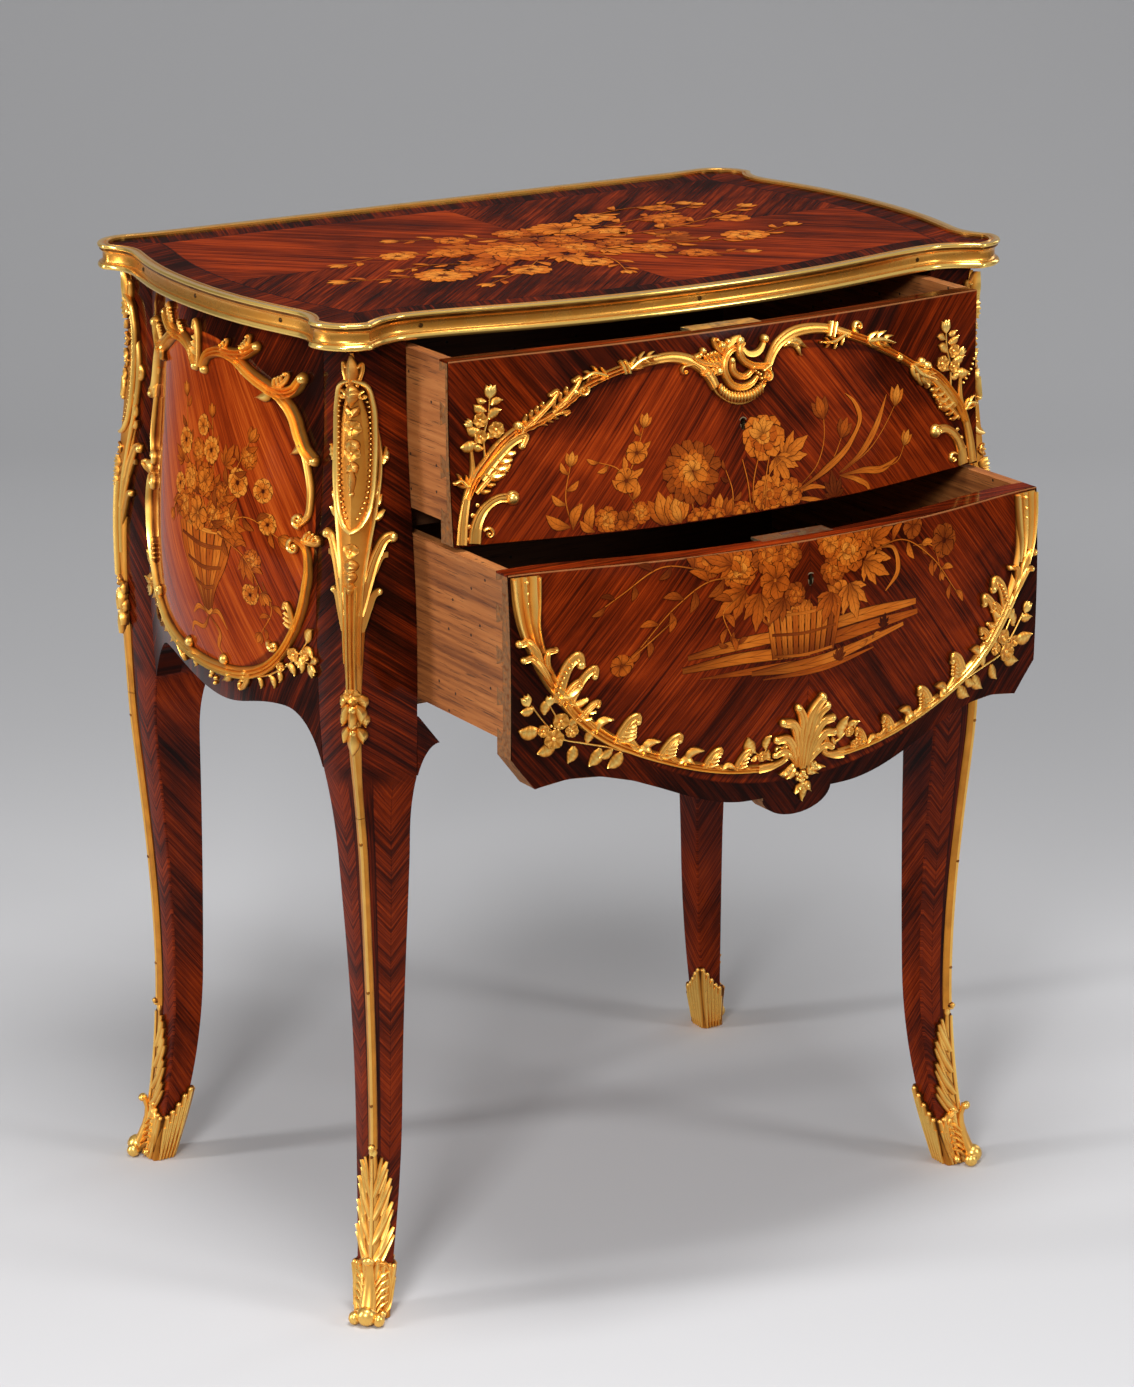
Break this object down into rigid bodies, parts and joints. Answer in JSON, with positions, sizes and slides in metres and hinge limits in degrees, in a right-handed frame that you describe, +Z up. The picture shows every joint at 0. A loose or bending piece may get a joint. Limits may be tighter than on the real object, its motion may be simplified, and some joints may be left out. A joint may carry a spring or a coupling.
{
  "type": "commode chest",
  "caption": "Small commode on tall curved legs, with swelling sides, drawers that slide in its bowed front, gilt mounts and flower marquetry.",
  "frame": {"origin": "on the floor, at the middle of the whole object's outline with the drawers as they stand open", "axes": "+X to the object's right as seen from the front, +Y towards its back, +Z up; the drawers open along -Y"},
  "size_m": [0.6324, 0.5638, 0.77],
  "materials": {
    "kingwood": "french polished",
    "kingwood_dark": "french polished",
    "oak": "bare, planed",
    "gilt": "fire gilt, satin and burnished",
    "brass": "aged",
    "steel": "brushed"
  },
  "bodies": {
    "carcass": {"leg_front_left": "kingwood", "leg_front_right": "kingwood", "leg_back_left": "kingwood", "leg_back_right": "kingwood", "bracket_left": "kingwood", "bracket_right": "kingwood", "side_panel_left": "kingwood", "side_panel_right": "kingwood", "back_panel": "oak", "bottom_board": "oak", "mid_rail": "oak", "dust_board": "oak", "upper_runner_left": "oak", "upper_runner_right": "oak", "lower_guide_left": "oak", "lower_guide_right": "oak", "top_board": "oak", "top_veneer": "kingwood_dark", "top_rim": "gilt", "rim_screws": "brass", "corner_mount_front_left": "gilt", "corner_mount_front_right": "gilt", "corner_mount_back_left": "gilt", "corner_mount_back_right": "gilt", "leg_rib_front_left": "gilt", "leg_rib_front_right": "gilt", "leg_rib_back_left": "gilt", "leg_rib_back_right": "gilt", "sabot_front_left": "gilt", "sabot_front_right": "gilt", "sabot_back_left": "gilt", "sabot_back_right": "gilt", "side_frame_left": "gilt", "side_frame_right": "gilt"},
    "upper_drawer": {"upper_front": "kingwood", "upper_side_left": "oak", "upper_side_right": "oak", "upper_back": "oak", "upper_bottom": "oak", "upper_lock": "brass", "upper_keyhole": "brass", "upper_mount_left": "gilt", "upper_mount_right": "gilt", "upper_cartouche": "gilt"},
    "lower_drawer": {"lower_front": "kingwood", "lower_side_left": "oak", "lower_side_right": "oak", "lower_back": "oak", "lower_bottom": "oak", "lower_lock": "brass", "lower_keyhole": "brass", "lower_mount_left": "gilt", "lower_mount_right": "gilt", "lower_shell": "gilt"},
    "upper_bolt": {"upper_bolt": "steel"},
    "lower_bolt": {"lower_bolt": "steel"}
  },
  "joints": [
    {"name": "upper_drawer_slide", "type": "slide", "parent": "carcass", "child": "upper_drawer", "axis": [0, -1, 0], "range_m": [-0.058, 0.19]},
    {"name": "lower_drawer_slide", "type": "slide", "parent": "carcass", "child": "lower_drawer", "axis": [0, -1, 0], "range_m": [-0.131, 0.117]},
    {"name": "upper_lock_bolt", "type": "slide", "parent": "upper_drawer", "child": "upper_bolt", "axis": [0, 0, 1], "range_m": [0, 0.008]},
    {"name": "lower_lock_bolt", "type": "slide", "parent": "lower_drawer", "child": "lower_bolt", "axis": [0, 0, 1], "range_m": [0, 0.008]}
  ]
}
